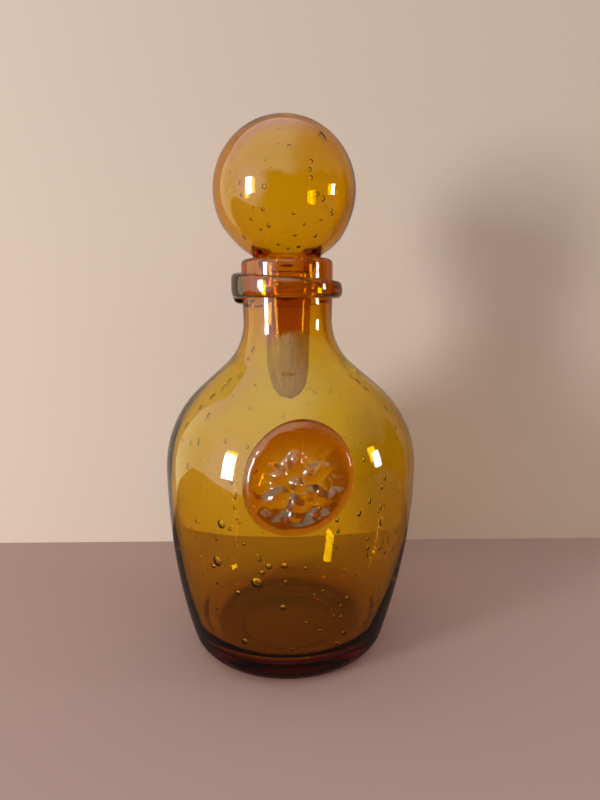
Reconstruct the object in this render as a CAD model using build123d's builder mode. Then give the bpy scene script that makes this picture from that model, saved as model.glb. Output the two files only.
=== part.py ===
"""Genie bottle: a blown decanter with an applied neck ring, an applied seal and a ball stopper.

Millimetres. The origin is the centre of the foot, +Z goes up the axis, and the seal faces -Y.
"""

from build123d import *
from math import acos, asin, atan2, cos, degrees, pi, radians, sin, sqrt, tan
import os

# Blown body, outside: a long side arc up to the belly, a shoulder arc, a cone, and a straight neck
belly_r = 62.6
belly_z = 94.5
side_radius = 304.0
shoulder_radius = 52.0
shoulder_turn = 49.0
neck_r = 21.4
neck_root_radius = 28.6
heel_radius = 11.8

# Mouth
lip_r = 22.3
lip_bottom_z = 186.0
mouth_z = 196.0
lip_outer_round = 2.6
lip_inner_round = 2.4

# Glass thickness and bore: the hollow sits a little higher than the outside's shape
body_wall = 3.2
hollow_lift = 1.4
inner_side_radius = 262.0
floor_thickness = 9.0
inner_heel_radius = 16.0
neck_bore_r = 18.4
bore_r = 15.2

# Kick-up under the base, inside the flat ring that the bottle rests on
foot_width = 10.8
punt_depth = 2.0
punt_edge_round = 3.0

# Neck ring: a trail laid round the neck as one falling turn and a bit, tapering from start to tail
ring_top_z = 184.0
ring_fall = 5.8
ring_start_angle = 160.0
ring_turn = 395.0
ring_start_height = 13.2
ring_tail_height = 7.6
ring_height_power = 3
ring_start_stand = 5.6
ring_tail_stand = 4.6
ring_start_corner_share = 0.27
ring_tail_corner_share = 0.45
ring_end_share = 0.4
ring_end_turn = 16.0
ring_steps = 15

# Seal: a stamped gather on the front of the body
seal_r = 23.0
seal_x = 5.6
seal_z = 104.7
seal_outline_shares = (1.0, 1.02, 1.02, 0.95, 0.99, 1.08, 0.985, 0.945)
seal_rim_stand = 5.4
seal_floor_stand = 2.4
seal_rim_round = 2.2
stamp_width = 35.7
stamp_height = 33.0
stamp_left = 1.1
stamp_drop = 2.2
petal_count = 6
petal_length = 12.0
petal_width = 7.6
petal_sink = 1.6
petal_orbit = 8.6
flower_eye_r = 3.6

# Ball stopper: under the ball a steep cone, its seat on the mouth, narrows to a tapered peg
ball_r = 34.0
ball_wall = 4.2
seat_slope = 60.0
seat_top_r = 17.0
seat_crease_radius = 1.6
seat_clearance = 0.25
peg_top_r = 12.2
peg_shoulder_round = 5.0
peg_low_r = 10.0
peg_taper_length = 46.9
peg_flank_radius = 28.0
peg_flank_turn = 24.0
peg_wall = 3.6
peg_hollow_length = 4.0
hollow_shoulder_round = 8.0

# How far a cutting solid runs past what it cuts
overrun = 5.0


def blown_section(skin, lift, side_arc, bottom_z, neck_radius, mouth_radius, root_radius, low_radius):
    """Half section of the blown form, standing a given skin outside its outer face."""
    belly = (belly_r + skin, belly_z + lift)
    side_turn = degrees(asin((belly_z + lift - bottom_z) / side_arc))
    with BuildSketch(Plane.XZ) as section:
        with BuildLine():
            side = JernArc(belly, (0, -1), side_arc, -side_turn)
            shoulder = JernArc(belly, (0, 1), shoulder_radius + skin, shoulder_turn)
            top = shoulder @ 1
            cone_height = (top.X - neck_radius) / tan(radians(shoulder_turn))
            cone = Line(top, (neck_radius, top.Y + cone_height))
            neck = Line(cone @ 1, (mouth_radius, lip_bottom_z))
            lip = Line(neck @ 1, (mouth_radius, mouth_z))
            Polyline(lip @ 1, (0, mouth_z), (0, bottom_z), side @ 1)
        make_face()
        fillet(section.vertices().sort_by_distance(cone @ 1)[0], root_radius)
        fillet(section.vertices().sort_by_distance(side @ 1)[0], low_radius)
    return section.sketch


def outside(skin):
    """Section of the blown form's outside, or of a shell that stands outside it."""
    return blown_section(
        skin, 0, side_radius + skin, 0, neck_r + skin, lip_r + skin, neck_root_radius - skin, heel_radius + skin
    )


# The foot is flat out to where the heel's round starts, and the kick-up fills what its ring leaves
foot_r = belly_r - side_radius + sqrt((side_radius - heel_radius) ** 2 - (belly_z - heel_radius) ** 2)
punt_r = foot_r - foot_width

# The blown bottle: body, neck and mouth in one piece
with BuildPart() as bottle:
    revolve(outside(0), axis=Axis.Z)
    inside = blown_section(
        -body_wall, hollow_lift, inner_side_radius, floor_thickness,
        neck_bore_r, bore_r, neck_root_radius + body_wall, inner_heel_radius
    )
    revolve(inside, axis=Axis.Z, mode=Mode.SUBTRACT)
    mouth_edges = bottle.edges().filter_by(GeomType.CIRCLE).group_by(Axis.Z)[-1]
    fillet(mouth_edges.sort_by(SortBy.RADIUS)[0], lip_inner_round)
    mouth_edges = bottle.edges().filter_by(GeomType.CIRCLE).group_by(Axis.Z)[-1]
    fillet(mouth_edges.sort_by(SortBy.RADIUS)[-1], lip_outer_round)
    with BuildSketch(Plane.XZ) as punt:
        with BuildLine():
            dome = TangentArc((0, punt_depth), (punt_r, 0), tangent=(1, 0))
            Polyline(dome @ 1, (punt_r, -overrun), (0, -overrun), dome @ 0)
        make_face()
    revolve(punt.sketch, axis=Axis.Z, mode=Mode.SUBTRACT)
    foot_edges = bottle.edges().filter_by(GeomType.CIRCLE).group_by(Axis.Z)[0]
    fillet(foot_edges.sort_by(SortBy.RADIUS)[0], punt_edge_round)
bottle.part.label = "bottle"


def end_share(turn_done):
    """How much of its full size the trail has near its two rounded ends."""
    from_end = min(turn_done, ring_turn - turn_done) / ring_end_turn
    if from_end >= 1:
        return 1
    return ring_end_share + (1 - ring_end_share) * sqrt(1 - (1 - from_end) ** 2)


# The neck ring: rounded bars lofted along the falling turn in two halves, and cut to the neck's face
with BuildPart() as neck_ring:
    ring_orbit = (neck_r + lip_r) / 2
    for half in range(2):
        for i in range(half * ring_steps, (half + 1) * ring_steps + 1):
            share = (1 - cos(pi * i / (2 * ring_steps))) / 2
            angle = radians(ring_start_angle + ring_turn * share)
            size = end_share(ring_turn * share)
            stand = size * (ring_start_stand + (ring_tail_stand - ring_start_stand) * share)
            thinning = (1 - share) ** ring_height_power
            height = size * (ring_tail_height + (ring_start_height - ring_tail_height) * thinning)
            corner_share = ring_start_corner_share + (ring_tail_corner_share - ring_start_corner_share) * share
            centre = (ring_orbit * cos(angle), ring_orbit * sin(angle), ring_top_z - ring_fall * share)
            across = Plane(centre, x_dir=(cos(angle), sin(angle), 0), z_dir=(-sin(angle), cos(angle), 0))
            with BuildSketch(across):
                RectangleRounded(2 * stand, height, corner_share * height)
        loft()
    revolve(outside(0), axis=Axis.Z, mode=Mode.SUBTRACT)
neck_ring.part.label = "neck_ring"


def on_front(x, z, skin):
    """Plane on the body's front at a place, a given skin outside the glass, facing outwards."""
    if z > belly_z:
        slope = asin((z - belly_z) / (shoulder_radius + skin))
        radius = belly_r - shoulder_radius + (shoulder_radius + skin) * cos(slope)
    else:
        slope = asin((z - belly_z) / (side_radius + skin))
        radius = belly_r - side_radius + (side_radius + skin) * cos(slope)
    y = -sqrt(radius ** 2 - x ** 2)
    outward = (x / radius * cos(slope), y / radius * cos(slope), sin(slope))
    return Plane((x, y, z), x_dir=(-y, x, 0), z_dir=outward)


# The seal: a thick pad that follows the body, a stamped recess, and a six-petalled flower in it
with BuildPart() as stamp:
    with BuildSketch(Plane.XZ):
        with Locations((seal_x - stamp_left, seal_z - stamp_drop)):
            Ellipse(stamp_width / 2, stamp_height / 2)
    extrude(amount=belly_r + seal_rim_stand + overrun)
    revolve(outside(seal_floor_stand), axis=Axis.Z, mode=Mode.SUBTRACT)

with BuildPart() as petal:
    with BuildSketch() as half_petal:
        Ellipse(petal_length / 2, petal_width / 2)
        split(bisect_by=Plane.XZ)
    revolve(half_petal.sketch, axis=Axis.X)

with BuildPart() as seal:
    with BuildSketch(Plane.XZ):
        with BuildLine():
            step = 2 * pi / len(seal_outline_shares)
            rim = [
                (seal_x + seal_r * part * cos(i * step), seal_z + seal_r * part * sin(i * step))
                for i, part in enumerate(seal_outline_shares)
            ]
            Spline(rim, periodic=True)
        make_face()
    extrude(amount=belly_r + seal_rim_stand + overrun)
    revolve(outside(seal_rim_stand), axis=Axis.Z, mode=Mode.INTERSECT)
    front_edges = seal.edges().filter_by_position(Axis.Y, -belly_r - seal_rim_stand, -belly_r / 2)
    fillet(front_edges.filter_by(GeomType.BSPLINE), seal_rim_round)
    add(stamp.part, mode=Mode.SUBTRACT)
    stamp_x = seal_x - stamp_left
    stamp_z = seal_z - stamp_drop
    for i in range(petal_count):
        turn = 360 / petal_count * (i + 1 / 2)
        petal_x = stamp_x + petal_orbit * cos(radians(turn))
        petal_z = stamp_z + petal_orbit * sin(radians(turn))
        with Locations(on_front(petal_x, petal_z, seal_floor_stand - petal_sink)):
            add(petal.part, rotation=(0, 0, turn))
    with Locations(on_front(stamp_x, stamp_z, seal_floor_stand - petal_sink)):
        Sphere(flower_eye_r)
    revolve(outside(0), axis=Axis.Z, mode=Mode.SUBTRACT)
seal.part.label = "seal"

# Where the stopper sits: its seat cone rests on the mouth's inner round, and the ball stands on the cone
slope = radians(seat_slope)
seat_gap = lip_inner_round + seat_clearance
seat_r = bore_r + lip_inner_round - seat_gap * sin(slope)
seat_z = mouth_z - lip_inner_round + seat_gap * cos(slope)
seat_top_z = seat_z + (seat_top_r - seat_r) * tan(slope)
ball_z = seat_top_z + sqrt(ball_r ** 2 - seat_top_r ** 2)
ball_end_angle = degrees(asin((seat_top_z - ball_z) / ball_r))
peg_top_z = seat_z - (seat_r - peg_top_r) * tan(slope)
peg_low_z = peg_top_z - peg_taper_length
hollow_r = peg_top_r - peg_wall
hollow_end_z = peg_top_z - peg_hollow_length

# The hollow inside the stopper, sealed all round: a ball that narrows to a stem inside the peg
with BuildPart() as stopper_hollow:
    with BuildSketch(Plane.XZ) as hollow_half:
        with BuildLine():
            inner_ball_r = ball_r - ball_wall
            start = -degrees(acos(hollow_r / inner_ball_r))
            ball = CenterArc((0, ball_z), inner_ball_r, start, 90 - start)
            stem = Line(ball @ 0, (hollow_r, hollow_end_z))
            tip = JernArc(stem @ 1, (0, -1), hollow_r, -90)
            Line(tip @ 1, ball @ 1)
        make_face()
        fillet(hollow_half.vertices().sort_by_distance(ball @ 0)[0], hollow_shoulder_round)
    revolve(axis=Axis.Z)

# The stopper: a blown ball, its seat cone, and a long tapered peg that rounds to a blunt nose
with BuildPart() as stopper:
    with BuildSketch(Plane.XZ) as stopper_half:
        with BuildLine():
            ball = CenterArc((0, ball_z), ball_r, ball_end_angle, 90 - ball_end_angle)
            cone = Line(ball @ 0, (peg_top_r, peg_top_z))
            peg = Line(cone @ 1, (peg_low_r, peg_low_z))
            flank = JernArc(peg @ 1, peg % 1, peg_flank_radius, -peg_flank_turn)
            lean = atan2(-(flank % 1).X, -(flank % 1).Y)
            nose = JernArc(flank @ 1, flank % 1, (flank @ 1).X / cos(lean), degrees(lean) - 90)
            Line(nose @ 1, ball @ 1)
        make_face()
        fillet(stopper_half.vertices().sort_by_distance(cone @ 1)[0], peg_shoulder_round)
        fillet(stopper_half.vertices().sort_by_distance(cone @ 0)[0], seat_crease_radius)
    revolve(axis=Axis.Z)
    add(stopper_hollow.part, mode=Mode.SUBTRACT)
stopper.part.label = "stopper"

os.makedirs("parts", exist_ok=True)
for piece in (bottle, neck_ring, seal, stopper):
    export_step(piece.part, f"parts/{piece.part.label}.step")
    print(piece.part.label, piece.part.is_valid, piece.part.volume, len(piece.part.solids()))
print("stopper from", (nose @ 1).Y, "to", ball_z + ball_r)
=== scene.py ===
"""Genie bottle: blown amber glass full of seed bubbles, with a neck ring, a seal and a ball stopper.

Metres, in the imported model's frame: the foot's centre is the origin, +Z is up, and the seal faces -Y.
"""

import math
import random

import bpy
from bpy.props import FloatProperty, FloatVectorProperty, IntProperty, PointerProperty
from mathutils import Euler, Matrix, Vector, noise
from mathutils.bvhtree import BVHTree


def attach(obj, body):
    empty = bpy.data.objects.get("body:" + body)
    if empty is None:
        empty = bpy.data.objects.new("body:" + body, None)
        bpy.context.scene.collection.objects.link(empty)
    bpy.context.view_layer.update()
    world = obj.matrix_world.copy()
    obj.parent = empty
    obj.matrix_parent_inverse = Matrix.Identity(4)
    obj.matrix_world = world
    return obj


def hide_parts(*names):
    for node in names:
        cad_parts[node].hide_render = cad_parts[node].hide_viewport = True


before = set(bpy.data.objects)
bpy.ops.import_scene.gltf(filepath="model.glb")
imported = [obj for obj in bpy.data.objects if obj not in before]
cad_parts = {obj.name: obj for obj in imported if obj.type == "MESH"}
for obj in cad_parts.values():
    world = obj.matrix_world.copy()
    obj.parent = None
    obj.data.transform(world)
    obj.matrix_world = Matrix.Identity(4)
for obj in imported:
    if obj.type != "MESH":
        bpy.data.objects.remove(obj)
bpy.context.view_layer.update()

bl_info = {
    "name": "Genie bottle",
    "version": (1, 0, 0),
    "blender": (4, 5, 0),
    "location": "View3D > Sidebar > Bottle",
    "description": "Builds a blown amber decanter with its neck ring, seal and ball stopper",
    "category": "Add Mesh",
}

MM = 0.001

# The photograph's frame in pixels, and the camera's sensor in millimetres
PHOTO_WIDTH = 600
PHOTO_HEIGHT = 800
SENSOR_WIDTH = 36.0

# Seed bubbles in the photograph: pixel across, pixel down, width in pixels, and stretch up the glass
BODY_BUBBLES_SEEN = (
    (256, 584, 12, 1.0), (261, 574, 6, 1.0), (268, 568, 7, 1.0), (284, 567, 7, 1.0), (216, 562, 10, 1.2),
    (212, 567, 5, 1.0), (237, 594, 6, 1.0), (215, 609, 4, 1.3), (216, 584, 4, 1.0), (243, 545, 4, 1.0),
    (283, 609, 7, 1.0), (285, 583, 3, 1.0), (244, 643, 8, 1.0), (292, 652, 4, 1.0), (220, 525, 9, 1.1),
    (229, 530, 4, 1.0), (179, 532, 3, 2.0), (306, 570, 4, 1.0), (338, 521, 4, 1.4), (339, 532, 4, 1.4),
    (337, 548, 3, 1.0), (360, 514, 5, 1.4), (371, 501, 4, 2.2), (382, 507, 4, 2.0), (369, 540, 3, 1.3),
    (369, 549, 4, 1.3), (381, 548, 4, 1.6), (386, 552, 4, 2.0), (393, 550, 3, 2.0), (397, 532, 3, 2.0),
    (365, 459, 4, 1.6), (386, 478, 4, 1.6), (383, 487, 4, 1.6), (396, 427, 4, 1.6), (386, 407, 4, 1.6),
    (358, 381, 5, 1.6), (352, 376, 3, 2.2), (212, 396, 5, 1.8), (223, 387, 3, 3.0), (252, 349, 3, 2.6),
    (200, 407, 4, 1.5), (208, 415, 4, 1.5), (186, 425, 4, 1.8), (187, 466, 4, 1.8), (321, 633, 4, 1.0),
    (307, 625, 4, 1.0), (345, 635, 5, 1.2), (338, 645, 4, 1.0), (349, 600, 5, 1.2), (342, 608, 4, 1.0),
    (342, 618, 4, 1.0), (335, 618, 4, 1.0), (324, 593, 4, 1.0), (315, 597, 3, 1.0), (366, 623, 4, 1.4),
    (308, 661, 3, 1.0), (345, 571, 3, 1.0), (196, 379, 3, 2.4), (229, 380, 3, 2.8), (345, 366, 3, 2.4),
    (366, 388, 4, 1.6), (190, 443, 3, 1.6), (234, 508, 5, 1.1), (236, 520, 3, 1.0), (256, 470, 3, 1.0),
)
BALL_BUBBLES_SEEN = (
    (289, 144, 4, 1.0), (324, 134, 6, 2.0), (312, 160, 4, 1.2), (311, 168, 4, 1.2), (312, 177, 4, 1.2),
    (319, 194, 4, 1.2), (325, 199, 5, 1.2), (333, 211, 4, 1.3), (334, 215, 3, 1.3), (262, 210, 4, 1.0),
    (268, 227, 4, 1.3), (260, 231, 3, 1.0), (294, 214, 4, 1.0), (295, 237, 4, 1.0), (316, 237, 4, 1.2),
    (278, 246, 3, 1.4), (288, 250, 3, 1.4), (299, 248, 4, 1.4), (243, 238, 4, 1.4), (238, 182, 4, 1.3),
    (263, 186, 5, 1.1), (240, 195, 3, 1.2), (322, 221, 3, 1.0), (305, 226, 3, 1.0), (250, 220, 3, 1.1),
)
RING_BUBBLES_SEEN = ((276, 284, 6, 1.0),)

# Scattered bubbles: how many, lowest, highest, narrowest, widest, and the gap on either side of the front
BODY_SCATTERS = (
    (130, 14 * MM, 150 * MM, 0.7 * MM, 3.6 * MM, math.radians(62)),
    (70, 22 * MM, 150 * MM, 0.8 * MM, 2.0 * MM, 0),
    (110, 10 * MM, 160 * MM, 0.35 * MM, 0.9 * MM, 0),
)
BALL_SCATTERS = (
    (46, 205 * MM, 254 * MM, 0.6 * MM, 2.2 * MM, math.radians(60)),
    (40, 203 * MM, 258 * MM, 0.3 * MM, 0.8 * MM, 0),
)

# Bubbles: the greatest thickness as shares of width and of wall, the depth as shares of the wall, or of its
# outer part where it is thick, and the stretches
BUBBLE_FLAT_SHARE = 0.75
BUBBLE_WALL_SHARE = 0.26
BUBBLE_DEPTH_SHARES = (0.38, 0.62)
OUTER_PART = 6 * MM
BUBBLE_STRETCHES = (1.0, 1.1, 1.4, 1.9)

# How far inside the skin a ray goes on, and how far off the axis it starts
JUST_INSIDE = 0.05 * MM
FAR_OUT = 200 * MM

# How far the body's belly and its foot stray to the right, at which height, and over what height
STRAYS = ((0.8 * MM, 100 * MM, 40 * MM), (-1.3 * MM, 0, 45 * MM))

# Long and short waves in the body's skin: their height, their size and a seed
OUTSIDE_WAVES = ((0.16 * MM, 38 * MM, 1), (0.02 * MM, 15 * MM, 5))
INSIDE_WAVES = ((0.34 * MM, 40 * MM, 3), (0.05 * MM, 14 * MM, 7))

# Heights between which they set in over the foot, and fade towards the lip and in the bore
FOOT_CALM = (1 * MM, 14 * MM)
LIP_CALM = (182 * MM, 190 * MM)
BORE_CALM = (176 * MM, 188 * MM)

# The ball: heights between which its waves set in, their sizes, the share of the short ones, and how far the
# ball strays to the right
BALL_RISE = (203 * MM, 214 * MM)
BALL_WAVE_SIZES = (34 * MM, 12 * MM)
BALL_SHORT_SHARE = 0.08
BALL_STRAY = -0.8 * MM

# The seal's outline, as shares of its mean radius, counter-clockwise from the right
SEAL_SHARES = (0.98, 1.0, 0.97, 0.94, 0.99, 1.08, 0.985, 0.945)

# The windows: azimuth to the right of the camera's side and elevation, width, height, watts and colour
LEFT_HEADING = (math.radians(-54), math.radians(8))
WINDOWS = (
    ("window_left", LEFT_HEADING, 0.25, 0.50, 14.0, (0.88, 0.93, 1.0)),
    ("window_right", (math.radians(82), math.radians(6)), 0.19, 0.28, 4.0, (0.92, 0.96, 1.0)),
)
WINDOW_DISTANCE = 1.3


def length(name, description, millimetres):
    """A size of the object."""
    return FloatProperty(name=name, description=description, default=millimetres * MM, unit="LENGTH")


def angle(name, description, turn):
    """An angle of the object, given in degrees."""
    return FloatProperty(name=name, description=description, default=math.radians(turn), subtype="ANGLE")


def colour(name, description, value):
    """A colour of a finish."""
    return FloatVectorProperty(
        name=name, description=description, default=value, subtype="COLOR", min=0, max=1
    )


def number(name, description, value):
    """A plain number of a finish."""
    return FloatProperty(name=name, description=description, default=value)


class BodySizes(bpy.types.PropertyGroup):
    """The blown bottle."""

    belly_r: length("Belly radius", "Widest radius of the body", 62.6)
    belly_z: length("Belly height", "Height of the widest place", 94.5)
    side_radius: length("Side arc", "Radius of the long arc below the belly", 304.0)
    shoulder_radius: length("Shoulder arc", "Radius of the arc above the belly", 52.0)
    shoulder_turn: angle("Shoulder turn", "How far the shoulder arc turns in", 49.0)
    neck_r: length("Neck radius", "Outside radius at the neck's foot", 21.4)
    neck_root: length("Neck root", "Radius of the hollow curve under the neck", 28.6)
    heel: length("Heel", "Radius between the side and the foot", 11.8)
    lip_r: length("Lip radius", "Outside radius of the lip", 22.3)
    lip_bottom_z: length("Lip bottom", "Height where the lip starts", 186.0)
    mouth_z: length("Mouth height", "Height of the lip's top", 196.0)
    lip_outer: length("Lip's outer round", "Radius of the lip's outer edge", 2.6)
    lip_inner: length("Lip's inner round", "Radius of the bore's edge", 2.4)
    bore_r: length("Bore radius", "Inside radius of the mouth", 15.2)
    neck_bore_r: length("Neck's bore", "Inside radius at the neck's foot", 18.4)
    wall: length("Wall", "Thickness of the glass at the belly", 3.2)
    hollow_lift: length("Hollow's lift", "How far the hollow sits above the outside's shape", 1.4)
    inner_side: length("Inner side arc", "Radius of the long arc inside", 262.0)
    floor: length("Floor", "Thickness of the glass under the hollow", 9.0)
    inner_heel: length("Inner heel", "Radius between wall and floor inside", 16.0)
    foot_width: length("Foot width", "Width of the ring that the bottle stands on", 10.8)
    punt_depth: length("Punt depth", "Depth of the kick-up", 2.0)
    punt_edge: length("Punt's edge", "Radius between the kick-up and the foot", 30.0)


class RingSizes(bpy.types.PropertyGroup):
    """The trail of glass round the neck."""

    start_z: length("Start's height", "Height of the middle of the trail's start", 184.0)
    fall: length("Fall", "How far the trail falls from start to tail", 5.8)
    start: angle("Start", "Where the trail starts, seen from above, from the right", 160.0)
    turn: angle("Turn", "How far the trail goes round", 395.0)
    orbit: length("Orbit", "Radius that the trail is laid on", 21.85)
    start_width: length("Start's width", "Width of the bar at its start", 13.2)
    tail_width: length("Tail's width", "Width of the bar at its tail", 7.6)
    start_stand: length("Start's stand", "How far the start stands off the neck", 5.6)
    tail_stand: length("Tail's stand", "How far the tail stands off the neck", 4.6)
    end_turn: angle("End's turn", "How far round each end takes to round off", 12.0)
    bite: length("Bite", "How far the trail is sunk into the neck", 0.5)


class SealSizes(bpy.types.PropertyGroup):
    """The stamped seal on the front."""

    radius: length("Radius", "Mean radius of the seal", 23.0)
    x: length("Place across", "How far the seal is right of the body's middle", 4.3)
    z: length("Place up", "Height of the seal's middle", 103.5)
    rim_stand: length("Rim's stand", "How far the rim stands off the body", 5.4)
    rim_round: length("Rim's round", "Width over which the rim rolls down to the body", 4.2)
    lip: length("Lip", "How high over the body the rim is widest", 0.4)
    tuck: length("Tuck", "How far the rim draws in under its widest place", 0.2)
    press_r: length("Press radius", "Radius of the shoulder's curve that the press flattens", 56.0)
    floor_stand: length("Floor's stand", "How far the stamped floor stands off the body", 2.4)
    stamp_width: length("Stamp width", "Width of the stamped hollow", 35.7)
    stamp_height: length("Stamp height", "Height of the stamped hollow", 33.0)
    stamp_left: length("Stamp left", "How far the stamp is left of the seal's middle", 1.1)
    stamp_drop: length("Stamp drop", "How far the stamp is below the seal's middle", 1.2)
    petals: IntProperty(name="Petals", description="Number of petals", default=6, min=3)
    petal_length: length("Petal length", "Length of a petal", 12.0)
    petal_width: length("Petal width", "Width of a petal", 7.6)
    petal_stand: length("Petal stand", "How far a petal stands off the floor", 1.9)
    petal_orbit: length("Petal orbit", "From the flower's middle to a petal's middle", 8.6)
    eye_r: length("Eye radius", "Radius of the flower's eye", 3.6)
    bite: length("Bite", "How far the seal is sunk into the body", 0.5)


class StopperSizes(bpy.types.PropertyGroup):
    """The ball stopper."""

    ball_r: length("Ball radius", "Outside radius of the ball", 34.0)
    ball_wall: length("Ball wall", "Thickness of the ball's glass", 4.2)
    seat_slope: angle("Seat slope", "Slope of the cone that rests on the mouth", 60.0)
    seat_clearance: length("Seat clearance", "Room between the cone and the mouth", 0.25)
    seat_top_r: length("Seat's top radius", "Radius where the ball stands on its seat", 17.0)
    crease: length("Crease", "Radius between ball and seat", 1.6)
    peg_top_r: length("Peg's top radius", "Radius of the peg under its seat", 12.2)
    peg_shoulder: length("Peg's shoulder", "Radius between seat and peg", 5.0)
    peg_low_r: length("Peg's low radius", "Radius at the end of the taper", 10.0)
    peg_taper: length("Peg's taper", "Length of the tapered part", 46.9)
    flank_radius: length("Flank arc", "Radius where the peg draws in", 28.0)
    flank_turn: angle("Flank turn", "How far the flank turns in before the nose", 24.0)
    peg_wall: length("Peg wall", "Thickness of the peg's glass at its top", 3.6)
    peg_hollow: length("Peg's hollow", "How deep the hollow goes into the peg", 4.0)
    hollow_shoulder: length("Hollow's shoulder", "Radius between the ball's hollow and the peg's", 8.0)
    ground_z: length("Ground from", "Height below which the peg is ground rough", 160.0)


class GlassLook(bpy.types.PropertyGroup):
    """Colour and finish of the amber glass."""

    tint: colour("Tint", "Colour that the glass lets through", (0.962, 0.873, 0.0))
    density: number("Density", "How strongly the glass takes colour out", 760.0)
    ior: number("IOR", "Refractive index", 1.5)
    # The ground face's colour is its own pale frost plus a painted lilac reflection of cool daylight
    frost_and_sheen: colour("Frost", "Colour of the ground face", (0.87, 0.74, 0.88))
    frost_share: number("Frost share", "How opaque the ground face is", 0.4)
    frost_roughness: number("Frost roughness", "Roughness of the ground face", 0.38)


class StageLook(bpy.types.PropertyGroup):
    """Camera, table, wall and light."""

    wall: colour("Wall", "Wall paint", (0.66, 0.53, 0.415))
    table: colour("Table", "Table top", (0.37, 0.25, 0.21))
    beyond: colour("Beyond", "Pale ground past the wall, also through the glass", (0.62, 0.53, 0.45))
    ceiling: colour("Ceiling", "Soft light from above", (1.0, 0.95, 0.97))
    dome: colour("Dome", "What the glass mirrors of the light over it", (0.90, 1.0, 0.66))
    daylight: colour("Daylight", "Glow round the left window", (0.92, 0.94, 1.0))
    glow_strength: number("Glow", "How strong that glow is", 1.6)
    over_wall: colour("Over the wall", "What it mirrors from above the wall", (0.55, 0.50, 0.66))
    room: colour("Room", "The dim room behind the camera", (0.022, 0.018, 0.014))
    wall_y: length("Wall's place", "How far the wall is behind the axis", 117.0)
    wall_reach: length("Wall's reach", "How far the wall goes to either side", 270.0)
    wall_top: length("Wall's top", "Height of the wall", 450.0)
    table_y: length("Table's edge", "How far the table comes forward of the axis", 330.0)
    camera_y: length("Camera's distance", "From the bottle's axis", 290.0)
    camera_z: length("Camera's height", "Above the table", 177.0)
    camera_x: length("Camera's side step", "To the right of the axis", 6.2)
    camera_pitch: angle("Camera's pitch", "Down from level", 9.9)
    camera_roll: angle("Camera's roll", "Clockwise", 0.5)
    lens: FloatProperty(name="Lens", description="Focal length", default=26.1, unit="CAMERA")


# Outlines

# How far apart an outline's points are at most, and the fewest steps of an arc
SPACING = 2 * MM
FEWEST_STEPS = 7

# Points nearer together than this are one
SAME_PLACE = 0.01 * MM


def arc(centre, radius, start, end):
    """Points of an arc in the outline's plane, from one angle to another."""
    steps = max(FEWEST_STEPS, math.ceil(abs(end - start) * radius / SPACING))
    turns = [start + (end - start) * i / steps for i in range(steps + 1)]
    across, up = centre
    return [Vector((across + radius * math.cos(turn), up + radius * math.sin(turn))) for turn in turns]


def rounded(before, corner, after, radius):
    """Points of the round that takes the place of a corner between two straight runs."""
    corner = Vector(corner)
    back = (Vector(before) - corner).normalized()
    on = (Vector(after) - corner).normalized()
    half = back.angle(on) / 2
    centre = corner + (back + on).normalized() * radius / math.sin(half)
    first = corner + back * radius / math.tan(half) - centre
    last = corner + on * radius / math.tan(half) - centre
    start = math.atan2(first.y, first.x)
    turn = math.remainder(math.atan2(last.y, last.x) - start, math.tau)
    return arc(centre, radius, start, start + turn)


def evenly(points):
    """The outline with points added along its long straight runs, and repeated ones left out."""
    outline = [Vector(points[0])]
    for point in points[1:]:
        start, gap = outline[-1], Vector(point) - outline[-1]
        steps = math.ceil(gap.length / SPACING)
        if gap.length > SAME_PLACE:
            outline += [start + gap * i / steps for i in range(1, steps + 1)]
    return outline


def blown_outline(size, skin, lift, side, bottom_z, low_r, top_r, root, heel):
    """The blown form from the edge of its flat base up to the straight of its neck."""
    belly_x, belly_z = size.belly_r + skin, size.belly_z + lift
    side_x = belly_x - side
    heel_z = bottom_z + heel
    heel_x = side_x + math.sqrt((side - heel) ** 2 - (belly_z - heel_z) ** 2)
    meet = math.atan2(heel_z - belly_z, heel_x - side_x)
    shoulder = size.shoulder_radius + skin
    shoulder_x = belly_x - shoulder
    turn = size.shoulder_turn
    top = (shoulder_x + shoulder * math.cos(turn), belly_z + shoulder * math.sin(turn))
    root_corner = (low_r, top[1] + (top[0] - low_r) / math.tan(turn))
    outline = arc((heel_x, heel_z), heel, -math.pi / 2, meet)
    outline += arc((side_x, belly_z), side, meet, 0)
    outline += arc((shoulder_x, belly_z), shoulder, 0, turn)
    return outline + rounded(top, root_corner, (top_r, size.lip_bottom_z), root)


def outside(size):
    """The outer outline of the bottle, from its foot to the foot of its lip."""
    outline = blown_outline(
        size, 0, 0, size.side_radius, 0, size.neck_r, size.lip_r, size.neck_root, size.heel
    )
    return outline + [Vector((size.lip_r, size.lip_bottom_z))]


def radius_at(outline, z):
    """The outline's radius at a height, or its last radius above it."""
    for low, high in zip(outline, outline[1:]):
        if low.y <= z <= high.y and high.y > low.y:
            return low.x + (high.x - low.x) * (z - low.y) / (high.y - low.y)
    return outline[-1].x


# Meshes

def deselect():
    """Leaves nothing selected, as an operator acts on all that is."""
    bpy.ops.object.select_all(action="DESELECT")


def select_only(piece):
    """Selects one piece alone."""
    deselect()
    piece.select_set(True)
    bpy.context.view_layer.objects.active = piece


def face_outwards(piece, inside=False):
    """Turns a closed piece's faces outwards, or inwards, and smooths them."""
    select_only(piece)
    bpy.ops.object.mode_set(mode="EDIT")
    bpy.ops.mesh.select_all(action="SELECT")
    bpy.ops.mesh.normals_make_consistent(inside=inside)
    bpy.ops.object.mode_set(mode="OBJECT")
    bpy.ops.object.shade_smooth()


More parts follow.
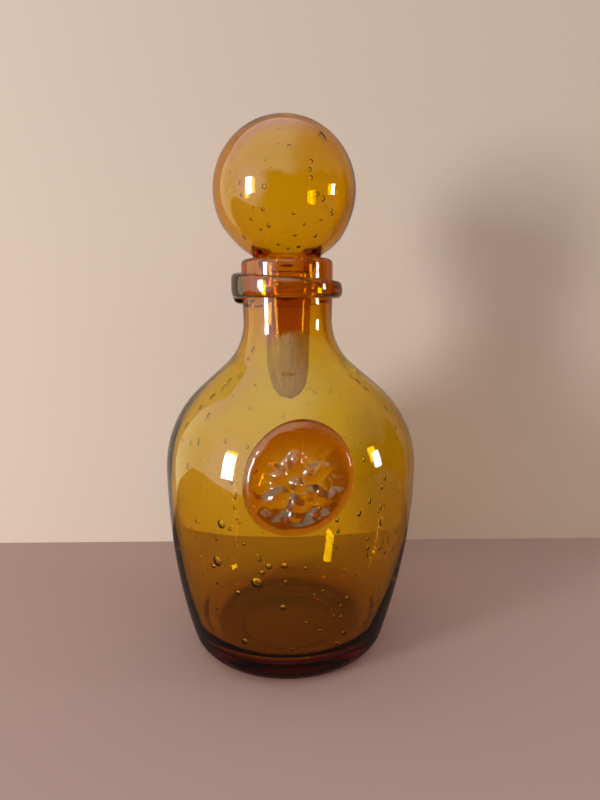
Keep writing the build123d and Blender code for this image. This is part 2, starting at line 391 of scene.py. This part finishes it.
def lathe(name, outline, segments, inside=False):
    """Extrudes one vertex along an outline from axis to axis, and spins it round."""
    deselect()
    bpy.ops.mesh.primitive_plane_add(size=MM, location=(outline[0].x, 0, outline[0].y))
    piece = bpy.context.object
    piece.name = piece.data.name = name
    bpy.ops.object.transform_apply(location=True, rotation=True, scale=True)
    bpy.ops.object.mode_set(mode="EDIT")
    bpy.ops.mesh.select_all(action="SELECT")
    bpy.ops.mesh.merge(type="CENTER")
    for low, high in zip(outline, outline[1:]):
        step = high - low
        bpy.ops.mesh.extrude_region_move(TRANSFORM_OT_translate={"value": (step.x, 0, step.y)})
    bpy.ops.mesh.select_all(action="SELECT")
    bpy.ops.mesh.spin(steps=segments, angle=math.tau, center=(0, 0, 0), axis=(0, 0, 1))
    bpy.ops.mesh.select_all(action="SELECT")
    bpy.ops.mesh.remove_doubles(threshold=SAME_PLACE / 2)
    bpy.ops.object.mode_set(mode="OBJECT")
    face_outwards(piece, inside)
    return piece


def moulded_ball(name, rows, segments):
    """A ball whose rows and segments are to be moulded into another closed shape."""
    deselect()
    bpy.ops.mesh.primitive_uv_sphere_add(segments=segments, ring_count=rows, radius=1)
    piece = bpy.context.object
    piece.name = piece.data.name = name
    return piece


def row_and_turn(vertex, rows):
    """Which row of a ball a vertex is on, counted from its top, and where round it."""
    row = math.acos(max(-1.0, min(1.0, vertex.co.z))) / math.pi * rows
    return row, math.atan2(vertex.co.y, vertex.co.x)


def fuse(piece, grain, rounds):
    """Melts a piece that runs into itself together, and smooths the grain that this leaves."""
    select_only(piece)
    melt = piece.modifiers.new("melt", "REMESH")
    melt.mode = "VOXEL"
    melt.voxel_size = grain
    calm = piece.modifiers.new("calm", "SMOOTH")
    calm.factor = 0.5
    calm.iterations = rounds
    bpy.ops.object.modifier_apply(modifier=melt.name)
    bpy.ops.object.modifier_apply(modifier=calm.name)


# Hand work

def ease(value, low, high):
    """Rises smoothly from 0 to 1 between two values."""
    share = max(0.0, min(1.0, (value - low) / (high - low)))
    return share * share * (3 - 2 * share)


def lean(z):
    """How far the body strays to the right at a height."""
    return sum(stray * math.exp(-(((z - middle) / reach) ** 2)) for stray, middle, reach in STRAYS)


def wander(place, size, seed):
    """Smooth noise from about -1 to 1, of a given size, drawn out upwards as blown glass is."""
    squeeze, seed_step = 0.6, 2.7
    drawn = Vector((place.x, place.y, place.z * squeeze)) / size
    return noise.noise(drawn + Vector((seed, seed_step * seed, 0)))


def skin_wave(place, waves):
    """How far the skin stands out or in where some waves meet."""
    return sum(height * wander(place, size, seed) for height, size, seed in waves)


def hand_blown(piece, size):
    """Gives the body its lean and its uneven skin: faint waves outside, stronger ones inside."""
    moved = []
    for vertex in piece.data.vertices:
        place = vertex.co
        outwards = vertex.normal.x * place.x + vertex.normal.y * place.y
        inner_wall = outwards < -0.2 * place.xy.length
        inner_floor = vertex.normal.z > 0.5 and place.z < 1.5 * size.floor
        if inner_wall or inner_floor:
            free = 1 - ease(place.z, *BORE_CALM)
            wave = skin_wave(place, INSIDE_WAVES)
        else:
            free = ease(place.z, *FOOT_CALM) * (1 - ease(place.z, *LIP_CALM))
            wave = skin_wave(place, OUTSIDE_WAVES)
        moved.append(place + vertex.normal * wave * free + Vector((lean(place.z), 0, 0)))
    for vertex, place in zip(piece.data.vertices, moved):
        vertex.co = place


# Seed bubbles

class BubbleBlower:
    """Puts seed bubbles into the glass of one piece, whose shells are its outside and any hollow."""

    def __init__(self, shells, seed):
        self.rng = random.Random(seed)
        self.made = []
        places, faces = [], []
        for shell in shells:
            first = len(places)
            places += [vertex.co.copy() for vertex in shell.data.vertices]
            faces += [[first + index for index in face.vertices] for face in shell.data.polygons]
        self.tree = BVHTree.FromPolygons(places, faces)
        deselect()
        bpy.ops.mesh.primitive_ico_sphere_add(subdivisions=2, radius=1)
        self.master = bpy.context.object
        face_outwards(self.master, inside=True)

    def blow(self, origin, direction, width, stretch):
        """Puts a bubble under the glass that a ray meets first, flattened to stay inside the wall."""
        place, normal, _, _ = self.tree.ray_cast(origin, direction)
        if place is None:
            return
        _, _, _, wall = self.tree.ray_cast(place - normal * JUST_INSIDE, -normal)
        if wall is None:
            return
        thickness = min(BUBBLE_FLAT_SHARE * width, BUBBLE_WALL_SHARE * wall)
        centre = place - normal * min(wall, OUTER_PART) * self.rng.uniform(*BUBBLE_DEPTH_SHARES)
        around = Vector((-normal.y, normal.x, 0)) if normal.xy.length > 0.05 else Vector((1, 0, 0))
        around.normalize()
        up = normal.cross(around)
        axes = Matrix((around * width / 2, up * width / 2 * stretch, normal * thickness / 2))
        bubble = bpy.data.objects.new("bubble", self.master.data.copy())
        bpy.context.collection.objects.link(bubble)
        bubble.data.transform(Matrix.Translation(centre) @ axes.transposed().to_4x4())
        self.made.append(bubble)

    def blow_seen(self, look, seen):
        """Puts bubbles where the photograph shows them."""
        eye, turn = camera_place(look)
        focal = look.lens / SENSOR_WIDTH * PHOTO_HEIGHT
        for across, down, width, stretch in seen:
            ray = turn @ Vector((across - PHOTO_WIDTH / 2, PHOTO_HEIGHT / 2 - down, -focal))
            _, _, _, distance = self.tree.ray_cast(eye, ray.normalized())
            if distance is not None:
                self.blow(eye, ray.normalized(), width * distance / ray.length, stretch)

    def scatter(self, count, lowest, highest, narrowest, widest, front_gap):
        """Scatters small bubbles all round but for a gap on either side of the front."""
        for _ in range(count):
            turn = self.rng.uniform(front_gap, math.tau - front_gap) - math.pi / 2
            out = Vector((math.cos(turn), math.sin(turn), 0))
            place = Vector((0, 0, self.rng.uniform(lowest, highest)))
            width = narrowest + (widest - narrowest) * self.rng.random() ** 3
            self.blow(place + out * FAR_OUT, -out, width, self.rng.choice(BUBBLE_STRETCHES))

    def finish(self, piece):
        """Makes the bubbles part of the piece."""
        bpy.data.objects.remove(self.master)
        select_only(piece)
        for bubble in self.made:
            bubble.select_set(True)
        bpy.ops.object.join()


# Finishes

# The ragged line over the ground face: how far it strays, and where in that the face begins and is whole
RAGGED_REACH = 44 * MM
RAGGED_ENDS = (23.5 * MM, 20.5 * MM)

# The height over which streaks set in at the bottom, and fade at the top
STREAKS_IN = 12 * MM
STREAKS_OUT = 4 * MM


class Nodes:
    """A node tree in the making."""

    def __init__(self, tree):
        self.tree = tree

    def put(self, socket, value):
        """Sets an input to a value, or links it to another node's output."""
        if isinstance(value, bpy.types.NodeSocket):
            self.tree.links.new(value, socket)
        elif socket.type == "RGBA":
            socket.default_value = (*value, 1)
        else:
            socket.default_value = value

    def new(self, kind, **values):
        """Adds a shader node of a kind, with some of its inputs set."""
        node = self.tree.nodes.new("ShaderNode" + kind)
        for socket, value in values.items():
            self.put(node.inputs[socket.replace("_", " ")], value)
        return node

    def add(self, kind, **values):
        """Adds a node with some of its inputs set, and gives its first output."""
        return self.new(kind, **values).outputs[0]

    def math(self, operation, first, second):
        """One step of arithmetic on two values."""
        node = self.new("Math")
        node.operation = operation
        self.put(node.inputs[0], first)
        self.put(node.inputs[1], second)
        return node.outputs[0]

    def multiply(self, first, second):
        """The product of two values."""
        return self.math("MULTIPLY", first, second)

    def eased(self, value, low, high):
        """Rises smoothly from 0 to 1 between two values, which may stand the other way round."""
        node = self.new("MapRange", Value=value, From_Min=low, From_Max=high)
        node.interpolation_type = "SMOOTHSTEP"
        return node.outputs[0]

    def between(self, share, first, second, **ends):
        """A number that goes from a first one to a second one with a share."""
        return self.add("MapRange", Value=share, To_Min=first, To_Max=second, **ends)

    def mixed(self, share, first, second):
        """A colour that goes from a first one to a second one with a share."""
        return self.add("MixRGB", Fac=share, Color1=first, Color2=second)

    def reflected(self):
        """1 for what is mirrored, and 0 for what shows straight or through glass."""
        path = self.new("LightPath").outputs
        return self.math("GREATER_THAN", path["Is Glossy Ray"], path["Is Transmission Ray"])


class Finish(Nodes):
    """A node material in the making."""

    def __init__(self, name):
        self.material = bpy.data.materials.new(name)
        self.material.use_nodes = True
        super().__init__(self.material.node_tree)
        self.shader = self.tree.nodes["Principled BSDF"]
        self.output = self.tree.nodes["Material Output"]

    def height(self):
        """How high on the piece a point is."""
        place = self.new("TexCoord").outputs["Object"]
        return self.new("SeparateXYZ", Vector=place).outputs["Z"]

    def pattern(self, size, squeeze=1.0, **values):
        """Noise of a given size, drawn out upwards where its heights are squeezed."""
        place = self.new("TexCoord").outputs["Object"]
        if squeeze < 1:
            place = self.add("Mapping", Vector=place, Scale=(1, 1, squeeze))
        return self.add("TexNoise", Vector=place, Scale=1 / size, **values)

    def bump(self, relief, depth):
        """Adds a relief to the skin, over any that it has."""
        normal = self.shader.inputs["Normal"]
        under = {"Normal": link.from_socket for link in normal.links}
        skin = self.add("Bump", Strength=1.0, Distance=depth, Height=relief, **under)
        self.put(normal, skin)


def amber_glass(name, look, wave, wave_size, depth=1.0):
    """Clear amber glass that takes its colour from its depth, with faint drawn-out waves in its skin."""
    finish = Finish(name)
    shader = finish.shader.inputs
    shader["Base Color"].default_value = (1, 1, 1, 1)
    shader["Roughness"].default_value = 0.0
    shader["IOR"].default_value = look.ior
    shader["Transmission Weight"].default_value = 1.0
    volume = finish.add("VolumeAbsorption", Color=look.tint, Density=look.density * depth)
    finish.put(finish.output.inputs["Volume"], volume)
    finish.bump(finish.pattern(wave_size, squeeze=0.35, Detail=2.0, Roughness=0.45), wave)
    return finish


def drawn_streaks(finish, low_z, high_z, depth, size):
    """Adds fine upright streaks to a finish, where its piece was drawn out between two heights."""
    height = finish.height()
    above = finish.eased(height, low_z, low_z + STREAKS_IN)
    below = finish.eased(height, high_z, high_z - STREAKS_OUT)
    streaks = finish.pattern(size, squeeze=0.05, Detail=3.0, Roughness=0.55)
    finish.bump(finish.multiply(streaks, finish.multiply(above, below)), depth)


def ground_glass(name, look, ground_z):
    """Amber glass whose peg is streaked, and ground rough below a ragged line, pale there with its own frost
    and a painted lilac reflection of cool daylight.
    """
    finish = amber_glass(name, look, wave=0.04 * MM, wave_size=20 * MM)
    drawn_streaks(finish, low_z=110 * MM, high_z=192 * MM, depth=0.05 * MM, size=1.8 * MM)
    ragged = finish.multiply(finish.pattern(size=4 * MM, squeeze=0.35, Detail=2.0), RAGGED_REACH)
    line = finish.math("ADD", finish.height(), ragged)
    ground = finish.eased(line, *(ground_z + end for end in RAGGED_ENDS))
    streaks = finish.pattern(size=1.6 * MM, squeeze=0.08, Detail=4.0, Roughness=0.6)
    patchy = finish.between(streaks, 0.45, 1.3, From_Min=0.3, From_Max=0.7)
    share = finish.multiply(ground, patchy)
    shader = finish.shader.inputs
    finish.put(shader["Transmission Weight"], finish.between(share, 1.0, 1 - look.frost_share))
    finish.put(shader["Roughness"], finish.between(share, 0.0, look.frost_roughness))
    # Painted reflection: the lilac in the ground face's colour stands in for the cool daylight it mirrors,
    # over its own pale frost
    finish.put(shader["Base Color"], finish.mixed(ground, (1, 1, 1), look.frost_and_sheen))
    return finish


def plain_finish(name, paint, mirrored, one_sided=False):
    """A matt finish with painted shade where glass mirrors it, darker there by a share; a one-sided one
    isn't there from behind.
    """
    finish = Finish(name)
    shader = finish.shader.inputs
    # Painted shade: the colour that glass mirrors is darkened, standing in for the dim room in front
    mirrored_shade = [part * mirrored for part in paint]
    finish.put(shader["Base Color"], finish.mixed(finish.reflected(), paint, mirrored_shade))
    shader["Roughness"].default_value = 0.9
    shader["Specular IOR Level"].default_value = 0.2
    if one_sided:
        behind = finish.new("NewGeometry").outputs["Backfacing"]
        mix = finish.new("MixShader", Fac=behind)
        finish.put(mix.inputs[1], finish.shader.outputs["BSDF"])
        finish.put(mix.inputs[2], finish.add("BsdfTransparent"))
        finish.put(finish.output.inputs["Surface"], mix.outputs["Shader"])
    return finish


def dress(piece, finish, body, node):
    """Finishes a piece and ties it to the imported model."""
    piece.data.materials.clear()
    piece.data.materials.append(finish.material)
    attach(piece, body)
    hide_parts(node)


# Pieces

class BOTTLE_OT_body(bpy.types.Operator):
    """Blow the bottle: body, neck and mouth"""

    bl_idname = "bottle.body"
    bl_label = "Bottle"

    def execute(self, context):
        scene = context.scene
        size = scene.body_sizes
        outer = outside(size)
        punt_r = outer[0].x - size.foot_width
        dome = (punt_r ** 2 + size.punt_depth ** 2) / (2 * size.punt_depth)
        dome_turn = math.asin(punt_r / dome)
        outline = arc((0, size.punt_depth - dome), dome, math.pi / 2, math.pi / 2 - dome_turn)
        outline = outline[:-1] + rounded(outline[-2], outline[-1], outer[0], size.punt_edge) + outer
        lip, bore, top = size.lip_r, size.bore_r, size.mouth_z
        outline += rounded(outer[-1], (lip, top), (bore, top), size.lip_outer)
        outline += rounded((lip, top), (bore, top), (bore, 0), size.lip_inner)
        outline.append(Vector((bore, size.lip_bottom_z)))
        hollow = blown_outline(
            size, -size.wall, size.hollow_lift, size.inner_side, size.floor,
            size.neck_bore_r, bore, size.neck_root + size.wall, size.inner_heel,
        )
        outline += [*hollow[::-1], (0, size.floor)]
        body = lathe("bottle_glass", evenly(outline), segments=144)
        hand_blown(body, size)
        blower = BubbleBlower([body], seed=11)
        blower.blow_seen(scene.stage_look, BODY_BUBBLES_SEEN)
        for scatter in BODY_SCATTERS:
            blower.scatter(*scatter)
        blower.finish(body)
        finish = amber_glass("bubbled_amber", scene.glass_look, wave=0.04 * MM, wave_size=22 * MM)
        drawn_streaks(finish, low_z=116 * MM, high_z=200 * MM, depth=0.045 * MM, size=2.6 * MM)
        dress(body, finish, "vessel", "bottle")
        return {"FINISHED"}


# The power that squares the trail's section at its start, and how much it grows towards the round tail
START_SQUARE = 0.38
TAIL_ROUNDER = 0.42

# How uneven the trail lies and stands off the neck, and how fast that changes round the neck
TRAIL_UNEVEN = 0.15 * MM
STAND_UNEVEN = 0.2 * MM
TRAIL_WAVES = 3


class BOTTLE_OT_ring(bpy.types.Operator):
    """Lay the trail of glass round the neck"""

    bl_idname = "bottle.ring"
    bl_label = "Neck ring"

    def execute(self, context):
        scene = context.scene
        size = scene.ring_sizes
        neck = outside(scene.body_sizes)
        rows = 160
        ring = moulded_ball("ring_glass", rows, segments=32)
        for vertex in ring.data.vertices:
            row, around = row_and_turn(vertex, rows)
            share = (1 - math.cos(math.pi * row / rows)) / 2
            done = size.turn * share
            end = min(1.0, min(done, size.turn - done) / size.end_turn)
            full = math.sqrt(1 - (1 - end) ** 2)
            stand = full * (size.start_stand + (size.tail_stand - size.start_stand) * share)
            width = full * (size.tail_width + (size.start_width - size.tail_width) * (1 - share) ** 3)
            square = START_SQUARE + TAIL_ROUNDER * share
            across = math.copysign(abs(math.cos(around)) ** square, math.cos(around))
            up = math.copysign(abs(math.sin(around)) ** square, math.sin(around))
            turn = size.start + done
            z = size.start_z - size.fall * share + up * width / 2
            z += TRAIL_UNEVEN * noise.noise(Vector((TRAIL_WAVES * turn, up, 5)))
            face = radius_at(neck, z)
            if across > 0:
                radius = face + (size.orbit + stand - face) * across
                radius += STAND_UNEVEN * across * noise.noise(Vector((TRAIL_WAVES * turn, 2 * up, 9)))
            else:
                radius = face + size.bite * across
            vertex.co = (radius * math.cos(turn) + lean(z), radius * math.sin(turn), z)
        fuse(ring, grain=0.42 * MM, rounds=6)
        face_outwards(ring)
        blower = BubbleBlower([ring], seed=5)
        blower.blow_seen(scene.stage_look, RING_BUBBLES_SEEN)
        blower.finish(ring)
        look = scene.glass_look
        finish = amber_glass("trailed_amber", look, wave=0.02 * MM, wave_size=9 * MM, depth=0.75)
        dress(ring, finish, "vessel", "neck_ring")
        return {"FINISHED"}


# The share of the stamp's radius where its floor starts to rise to the rim
FLOOR_SHARE = 0.58

# How far a petal's foot reaches past its ellipse, and a power that softens it
PETAL_REACH = 1.15
PETAL_SOFT = 1.5

# The melted skin: its waves' sizes, the share of the short ones, their millimetres on the rim and what the
# stamp adds, and the shares of the stamp between which that fades
MELT_SIZES = (6 * MM, 2.8 * MM)
MELT_SHORT_SHARE = 0.6
RIM_MELT = 0.25
STAMP_MELT = 0.85
STAMP_FADE = (0.75, 1.1)


def seal_edge(size, turn):
    """The seal's radius in one direction: a smooth curve through its shares of the mean radius."""
    place = (turn % math.tau) / math.tau * len(SEAL_SHARES)
    first = int(place)
    part = place - first
    near = range(first - 1, first + 3)
    before, here, ahead, beyond = (SEAL_SHARES[index % len(SEAL_SHARES)] for index in near)
    bend = 2 * before - 5 * here + 4 * ahead - beyond
    swing = 3 * (here - ahead) + beyond - before
    return size.radius * (here + part / 2 * (ahead - before + part * (bend + part * swing)))


def seal_height(size, across, up, from_edge):
    """How far the seal stands off the body at a place: its rolled rim, stamped floor and flower."""
    roll = min(1.0, from_edge / size.rim_round)
    crest = size.rim_stand + max(0.0, up) ** 2 / (2 * size.press_r)
    height = size.lip + (crest - size.lip) * math.sqrt(1 - (1 - roll) ** 2)
    across += size.stamp_left
    up += size.stamp_drop
    reach = math.hypot(across / (size.stamp_width / 2), up / (size.stamp_height / 2))
    inwards = max(0.0, from_edge - size.rim_round)
    outwards = max(0.0, reach - FLOOR_SHARE) * size.stamp_height / 2
    rise = ease(outwards / (outwards + inwards + MM * MM), 0, 1)
    height -= (size.rim_stand - size.floor_stand) * (1 - rise)
    radius = math.hypot(across, up)
    step = math.tau / size.petals
    offset = (math.atan2(up, across) / step - 0.5) % 1
    offset = (offset - round(offset)) * step
    along = (radius * math.cos(offset) - size.petal_orbit) / (size.petal_length / 2)
    beside = radius * math.sin(offset) / (size.petal_width / 2)
    petal = max(0.0, PETAL_REACH - along ** 2 - beside ** 2) ** PETAL_SOFT
    eye = max(0.0, PETAL_REACH - (radius / size.eye_r) ** 2) ** PETAL_SOFT
    height += size.petal_stand * (petal ** 3 + eye ** 3) ** (1 / 3)
    long_wave, short_wave = (noise.noise(Vector((across, up, 0)) / wave_size) for wave_size in MELT_SIZES)
    melted = long_wave + MELT_SHORT_SHARE * short_wave
    return height + (RIM_MELT + STAMP_MELT * (1 - ease(reach, *STAMP_FADE))) * MM * roll * melted


def on_body(size, x, z, skin):
    """A place on the body's front, standing a given skin off the glass."""
    arc_r = size.shoulder_radius if z > size.belly_z else size.side_radius
    slope = math.asin((z - size.belly_z) / arc_r)
    radius = size.belly_r - arc_r + arc_r * math.cos(slope)
    y = -math.sqrt(radius ** 2 - x ** 2)
    out = Vector((x / radius * math.cos(slope), y / radius * math.cos(slope), math.sin(slope)))
    return Vector((x + lean(z), y, z)) + out * skin


class BOTTLE_OT_seal(bpy.types.Operator):
    """Press the seal on the front of the body"""

    bl_idname = "bottle.seal"
    bl_label = "Seal"

    def execute(self, context):
        scene = context.scene
        size = scene.seal_sizes
        front_rows, side_rows, back_rows = 84, 8, 10
        rows = front_rows + side_rows + back_rows
        seal = moulded_ball("seal_glass", rows, segments=180)
        for vertex in seal.data.vertices:
            row, turn = row_and_turn(vertex, rows)
            edge = seal_edge(size, turn)
            under = min(1.0, max(0.0, (row - front_rows) / side_rows))
            in_front = row < front_rows + 0.5
            if in_front:
                reach = math.sin(math.pi / 2 * min(1.0, row / front_rows))
            else:
                reach = min(1.0, (rows - row) / back_rows)
                edge -= size.tuck * math.sin(math.pi / 2 * under)
            across, up = edge * reach * math.cos(turn), edge * reach * math.sin(turn)
            if in_front:
                skin = seal_height(size, across, up, edge * (1 - reach))
            else:
                skin = size.lip - (size.lip + size.bite) * under
            vertex.co = on_body(scene.body_sizes, size.x + across, size.z + up, skin)
        face_outwards(seal)
        look = scene.glass_look
        finish = amber_glass("pressed_amber", look, wave=0.05 * MM, wave_size=7 * MM, depth=1.45)
        finish.bump(finish.pattern(size=2.2 * MM, Detail=3.0), depth=0.015 * MM)
        dress(seal, finish, "vessel", "seal")
        return {"FINISHED"}


class BOTTLE_OT_stopper(bpy.types.Operator):
    """Blow the ball stopper and grind its peg"""

    bl_idname = "bottle.stopper"
    bl_label = "Stopper"

    def execute(self, context):
        scene = context.scene
        size = scene.stopper_sizes
        body = scene.body_sizes
        slope = size.seat_slope
        gap = body.lip_inner + size.seat_clearance
        seat_r = body.bore_r + body.lip_inner - gap * math.sin(slope)
        seat_z = body.mouth_z - body.lip_inner + gap * math.cos(slope)
        seat_top_z = seat_z + (size.seat_top_r - seat_r) * math.tan(slope)
        ball_z = seat_top_z + math.sqrt(size.ball_r ** 2 - size.seat_top_r ** 2)
        top_z = seat_z - (seat_r - size.peg_top_r) * math.tan(slope)
        low_z = top_z - size.peg_taper
        draw = math.atan2(size.peg_top_r - size.peg_low_r, size.peg_taper)
        flank_x = size.peg_low_r - size.flank_radius * math.cos(draw)
        flank_z = low_z + size.flank_radius * math.sin(draw)
        nose_turn = draw + size.flank_turn
        nose_x = flank_x + size.flank_radius * math.cos(nose_turn)
        nose_r = nose_x / math.cos(nose_turn)
        nose_z = flank_z - size.flank_radius * math.sin(nose_turn) + nose_r * math.sin(nose_turn)
        ball_end = math.asin((seat_top_z - ball_z) / size.ball_r) + size.crease / size.ball_r
        outline = arc((0, ball_z), size.ball_r, math.pi / 2, ball_end)
        seat_top, peg_top = (size.seat_top_r, seat_top_z), (size.peg_top_r, top_z)
        outline += rounded(outline[-1], seat_top, peg_top, size.crease)
        outline += rounded(seat_top, peg_top, (size.peg_low_r, low_z), size.peg_shoulder)
        outline += arc((flank_x, flank_z), size.flank_radius, -draw, -nose_turn)
        outline += arc((0, nose_z), nose_r, -nose_turn, -math.pi / 2)
        stopper = lathe("stopper_glass", evenly(outline), segments=128)

        hollow_r = size.peg_top_r - size.peg_wall
        inner_r = size.ball_r - size.ball_wall
        joint_x = hollow_r + size.hollow_shoulder
        joint_z = ball_z - math.sqrt((inner_r + size.hollow_shoulder) ** 2 - joint_x ** 2)
        down = math.atan2(joint_z - ball_z, joint_x)
        outline = arc((0, ball_z), inner_r, math.pi / 2, down)
        outline += arc((joint_x, joint_z), size.hollow_shoulder, down + math.pi, math.pi)
        outline += arc((0, top_z - size.peg_hollow), hollow_r, 0, -math.pi / 2)
        hollow = lathe("stopper_hollow", evenly(outline), segments=128, inside=True)

        for shell, strength, seed in ((stopper, 0.12 * MM, 21), (hollow, 0.35 * MM, 33)):
            for vertex in shell.data.vertices:
                place = vertex.co
                long_wave, short_wave = (wander(place, wave_size, seed) for wave_size in BALL_WAVE_SIZES)
                wave = long_wave + BALL_SHORT_SHARE * short_wave
                push = vertex.normal * wave * strength + Vector((BALL_STRAY, 0, 0))
                vertex.co += ease(place.z, *BALL_RISE) * push
        blower = BubbleBlower([stopper, hollow], seed=8)
        blower.blow_seen(scene.stage_look, BALL_BUBBLES_SEEN)
        for scatter in BALL_SCATTERS:
            blower.scatter(*scatter)
        blower.made.append(hollow)
        blower.finish(stopper)
        finish = ground_glass("ball_amber", scene.glass_look, size.ground_z)
        dress(stopper, finish, "stopper", "stopper")
        return {"FINISHED"}


# Stage

# How far up, right or back the sky's lights set in, and how near the left window its glow does, for a
# direction of length 1
OVERHEAD = (0.24, 0.46)
RIGHTWARD = (0.0, 0.55)
LEFTWARD = (-0.35, -0.85)
BACKWARD = (-0.15, 0.35)
OVER_WALL = (0.35, 0.60)
NEAR_WINDOW = (0.80, 0.99)

# How much the light fades to the right, its strength from the left, how uneven its edge is, and how much
# stronger it is mirrored
RIGHT_DIMMING = 0.7
LEFT_LIGHT = 0.85
UNEVENNESS = 0.5
MIRRORED_LIGHT = 1.3


def camera_place(look):
    """Where the camera is, and how it is turned."""
    place = Vector((look.camera_x, -look.camera_y, look.camera_z))
    turn = Euler((math.pi / 2 - look.camera_pitch, look.camera_roll, 0)).to_matrix()
    return place, turn


def outward(heading):
    """The way to a lamp, from its azimuth to the right of the camera's side and its elevation."""
    azimuth, elevation = heading
    level = math.cos(elevation)
    return Vector((math.sin(azimuth) * level, -math.cos(azimuth) * level, math.sin(elevation)))


def softbox(name, heading, width, height, watts, tone):
    """A soft lamp that faces the bottle's middle."""
    out = outward(heading)
    middle = Vector((0, 0, 120 * MM))
    deselect()
    bpy.ops.object.light_add(type="AREA", location=middle + out * WINDOW_DISTANCE)
    lamp = bpy.context.object
    lamp.name = name
    lamp.rotation_euler = out.to_track_quat("Z", "Y").to_euler()
    lamp.data.shape = "RECTANGLE"
    lamp.data.size = width
    lamp.data.size_y = height
    lamp.data.energy = watts
    lamp.data.color = tone


def board(name, finish, width, depth, place, tilt=0):
    """A flat board, level or tilted about its width."""
    deselect()
    bpy.ops.mesh.primitive_plane_add(size=1, location=place, rotation=(tilt, 0, 0))
    piece = bpy.context.object
    piece.scale = (width, depth, 1)
    bpy.ops.object.transform_apply(location=True, rotation=True, scale=True)
    piece.name = piece.data.name = name
    piece.data.materials.append(finish.material)
    return piece


def make_room(look):
    """A table top that ends at a wall close behind the bottle."""
    width, depth = 4.0, look.wall_y + look.table_y
    # Table and wall get painted shade where glass mirrors them, as if they lay in the dim room
    finish = plain_finish("table_top", look.table, mirrored=0.3)
    table = board("table", finish, width, depth, (0, (look.wall_y - look.table_y) / 2, 0))
    finish = plain_finish("wall_paint", look.wall, mirrored=0.65, one_sided=True)
    place = (0, look.wall_y, look.wall_top / 2)
    wall = board("wall", finish, 2 * look.wall_reach, look.wall_top, place, tilt=math.pi / 2)


def make_sky(look):
    """A dim room lit from above and from the left, with a pale ground past the wall.

    The glass mirrors it with a tone of its own over the wall, less light to the right and a window's glow.
    """
    world = bpy.data.worlds.new("soft_room")
    bpy.context.scene.world = world
    world.use_nodes = True
    sky = Nodes(world.node_tree)
    direction = sky.new("TexCoord").outputs["Generated"]
    right, back, up = sky.new("SeparateXYZ", Vector=direction).outputs
    reflected = sky.reflected()
    rightward = sky.multiply(reflected, sky.eased(right, *RIGHTWARD))
    patches = sky.add("TexNoise", Vector=direction, Scale=2.6, Detail=1.5)
    stray = sky.multiply(sky.math("SUBTRACT", patches, 0.5), UNEVENNESS)
    overhead = sky.eased(sky.math("ADD", up, stray), *OVERHEAD)
    kept = sky.math("SUBTRACT", 1.0, sky.multiply(rightward, RIGHT_DIMMING))
    overhead = sky.multiply(overhead, kept)
    leftward = sky.multiply(sky.eased(right, *LEFTWARD), LEFT_LIGHT)
    behind = sky.multiply(sky.eased(back, *BACKWARD), sky.eased(up, *OVER_WALL))
    dome = sky.mixed(behind, look.dome, look.over_wall)
    ceiling = sky.mixed(reflected, look.ceiling, dome)
    nearness = sky.new("VectorMath")
    nearness.operation = "DOT_PRODUCT"
    sky.put(nearness.inputs[0], direction)
    nearness.inputs[1].default_value = outward(LEFT_HEADING)
    glow = sky.multiply(reflected, sky.eased(nearness.outputs["Value"], *NEAR_WINDOW))
    light = sky.math("MAXIMUM", overhead, leftward)
    room = sky.mixed(light, look.room, ceiling)
    room = sky.mixed(glow, room, look.daylight)
    path = sky.new("LightPath").outputs
    through = sky.math("MAXIMUM", path["Is Camera Ray"], path["Is Transmission Ray"])
    background = world.node_tree.nodes["Background"].inputs
    sky.put(background["Color"], sky.mixed(through, room, look.beyond))
    mirrored = sky.multiply(reflected, sky.multiply(light, MIRRORED_LIGHT))
    glowing = sky.multiply(glow, look.glow_strength)
    sky.put(background["Strength"], sky.math("ADD", 1.0, sky.math("MAXIMUM", mirrored, glowing)))


class BOTTLE_OT_stage(bpy.types.Operator):
    """Set up the table, the wall, the light and the camera"""

    bl_idname = "bottle.stage"
    bl_label = "Stage"

    def execute(self, context):
        look = context.scene.stage_look
        make_room(look)
        make_sky(look)
        for window in WINDOWS:
            softbox(*window)
        place, turn = camera_place(look)
        deselect()
        bpy.ops.object.camera_add(location=place, rotation=turn.to_euler())
        camera = context.object
        camera.name = "photo_camera"
        camera.data.sensor_width = SENSOR_WIDTH
        camera.data.lens = look.lens
        camera.data.clip_start = 10 * MM
        context.scene.camera = camera
        return {"FINISHED"}


class BOTTLE_PT_panel(bpy.types.Panel):
    """Lists the pieces of the bottle"""

    bl_label = "Genie bottle"
    bl_idname = "BOTTLE_PT_panel"
    bl_space_type = "VIEW_3D"
    bl_region_type = "UI"
    bl_category = "Bottle"

    def draw(self, context):
        for operator in OPERATORS:
            self.layout.operator(operator.bl_idname)


OPERATORS = (BOTTLE_OT_stage, BOTTLE_OT_body, BOTTLE_OT_ring, BOTTLE_OT_seal, BOTTLE_OT_stopper)
GROUPS = {
    "body_sizes": BodySizes,
    "ring_sizes": RingSizes,
    "seal_sizes": SealSizes,
    "stopper_sizes": StopperSizes,
    "glass_look": GlassLook,
    "stage_look": StageLook,
}


def register():
    for each in (*GROUPS.values(), *OPERATORS, BOTTLE_PT_panel):
        bpy.utils.register_class(each)
    for name, group in GROUPS.items():
        setattr(bpy.types.Scene, name, PointerProperty(type=group))


def unregister():
    for name in GROUPS:
        delattr(bpy.types.Scene, name)
    for each in (BOTTLE_PT_panel, *reversed(OPERATORS), *GROUPS.values()):
        bpy.utils.unregister_class(each)


def main():
    register()
    scene = bpy.context.scene
    scene.view_settings.view_transform = "Standard"
    scene.cycles.max_bounces = 32
    scene.cycles.transmission_bounces = 32
    bpy.ops.bottle.stage()
    bpy.ops.bottle.body()
    bpy.ops.bottle.ring()
    bpy.ops.bottle.seal()
    bpy.ops.bottle.stopper()


if __name__ == "__main__":
    main()
